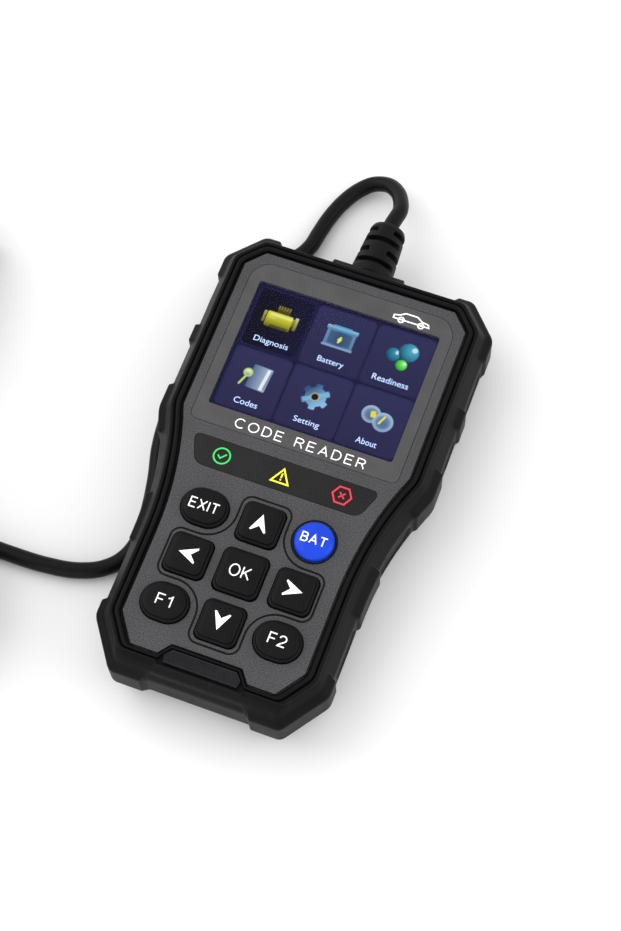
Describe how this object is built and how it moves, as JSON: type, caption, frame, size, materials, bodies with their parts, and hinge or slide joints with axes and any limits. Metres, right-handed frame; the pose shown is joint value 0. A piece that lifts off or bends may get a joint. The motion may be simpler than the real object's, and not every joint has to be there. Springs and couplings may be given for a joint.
{
  "type": "obd code reader",
  "caption": "Handheld vehicle diagnostic code reader with a colour display, keypad, rubber bumper and a coiled lead ending in a diagnostic plug.",
  "frame": {"origin": "middle of the reader's back, on the surface it lies on", "axes": "+Z out of the display, +Y towards the end where the lead leaves, +X to the right of the display"},
  "size_m": [0.2074, 0.2119, 0.0277],
  "materials": {
    "shell_black": "satin",
    "face_grey": "fine grained",
    "bumper_rubber": "satin",
    "mesh_rubber": "fine mesh pattern",
    "lens_grey": "smooth satin",
    "window_clear": "clear",
    "display_image": "dark blue colour display",
    "metal_plate": "satin",
    "ribbon_film": "amber film",
    "socket_cream": "moulded",
    "strip_dark": "dark speckled window",
    "guide_clear": "clear",
    "lamp_body": "moulded",
    "board_green": "solder mask",
    "mat_rubber": "silicone",
    "dome_steel": "bright",
    "chip_black": "moulded",
    "capacitor_can": "bright",
    "wire_colours": "coloured insulation",
    "screw_steel": "plated",
    "plate_silver": "blank brushed plate",
    "key_rubber": "satin",
    "key_blue": "bright blue",
    "relief_rubber": "satin",
    "lead_sheath": "smooth",
    "tie_strap": "hook and loop strap",
    "plug_black": "fine grained",
    "nose_black": "smooth",
    "pin_gold": "plated"
  },
  "bodies": {
    "housing": {"rear_cover": "shell_black", "front_cover": "face_grey", "bumper_frame": "bumper_rubber", "grip_pad": "mesh_rubber", "lens_bezel": "lens_grey", "display_window": "window_clear", "display_panel": "display_image", "display_frame": "metal_plate", "display_ribbon": "ribbon_film", "ribbon_socket": "socket_cream", "indicator_window": "strip_dark", "light_guides": "guide_clear", "indicator_leds": "lamp_body", "main_board": "board_green", "keypad_mat": "mat_rubber", "switch_domes": "dome_steel", "processor": "chip_black", "board_chips": "chip_black", "board_capacitors": "capacitor_can", "crystal_can": "dome_steel", "buzzer": "chip_black", "cable_header": "socket_cream", "header_plug": "socket_cream", "inner_wires": "wire_colours", "cable_clamp": "metal_plate", "board_screws": "screw_steel", "rear_screws": "screw_steel", "rear_plate": "plate_silver", "strain_relief": "relief_rubber", "lead_run": "lead_sheath", "lead_coil": "lead_sheath", "lead_tail": "lead_sheath", "coil_tie": "tie_strap", "plug_lower_shell": "plug_black", "plug_upper_shell": "plug_black", "plug_nose": "nose_black", "plug_pins": "pin_gold", "plug_board": "board_green", "plug_screws": "screw_steel", "plug_strain_relief": "relief_rubber"},
    "key_up": {"key_up": "key_rubber"},
    "key_down": {"key_down": "key_rubber"},
    "key_left": {"key_left": "key_rubber"},
    "key_right": {"key_right": "key_rubber"},
    "key_ok": {"key_ok": "key_rubber"},
    "key_exit": {"key_exit": "key_rubber"},
    "key_battery": {"key_battery": "key_blue"},
    "key_f1": {"key_f1": "key_rubber"},
    "key_f2": {"key_f2": "key_rubber"}
  },
  "joints": [
    {"name": "key_up_press", "type": "slide", "parent": "housing", "child": "key_up", "axis": [0, 0, -1], "range_m": [0, 0.0008], "stiffness_N_per_m": 1200},
    {"name": "key_down_press", "type": "slide", "parent": "housing", "child": "key_down", "axis": [0, 0, -1], "range_m": [0, 0.0008], "stiffness_N_per_m": 1200},
    {"name": "key_left_press", "type": "slide", "parent": "housing", "child": "key_left", "axis": [0, 0, -1], "range_m": [0, 0.0008], "stiffness_N_per_m": 1200},
    {"name": "key_right_press", "type": "slide", "parent": "housing", "child": "key_right", "axis": [0, 0, -1], "range_m": [0, 0.0008], "stiffness_N_per_m": 1200},
    {"name": "key_ok_press", "type": "slide", "parent": "housing", "child": "key_ok", "axis": [0, 0, -1], "range_m": [0, 0.0008], "stiffness_N_per_m": 1200},
    {"name": "key_exit_press", "type": "slide", "parent": "housing", "child": "key_exit", "axis": [0, 0, -1], "range_m": [0, 0.0008], "stiffness_N_per_m": 1200},
    {"name": "key_battery_press", "type": "slide", "parent": "housing", "child": "key_battery", "axis": [0, 0, -1], "range_m": [0, 0.0008], "stiffness_N_per_m": 1200},
    {"name": "key_f1_press", "type": "slide", "parent": "housing", "child": "key_f1", "axis": [0, 0, -1], "range_m": [0, 0.0008], "stiffness_N_per_m": 1200},
    {"name": "key_f2_press", "type": "slide", "parent": "housing", "child": "key_f2", "axis": [0, 0, -1], "range_m": [0, 0.0008], "stiffness_N_per_m": 1200}
  ]
}
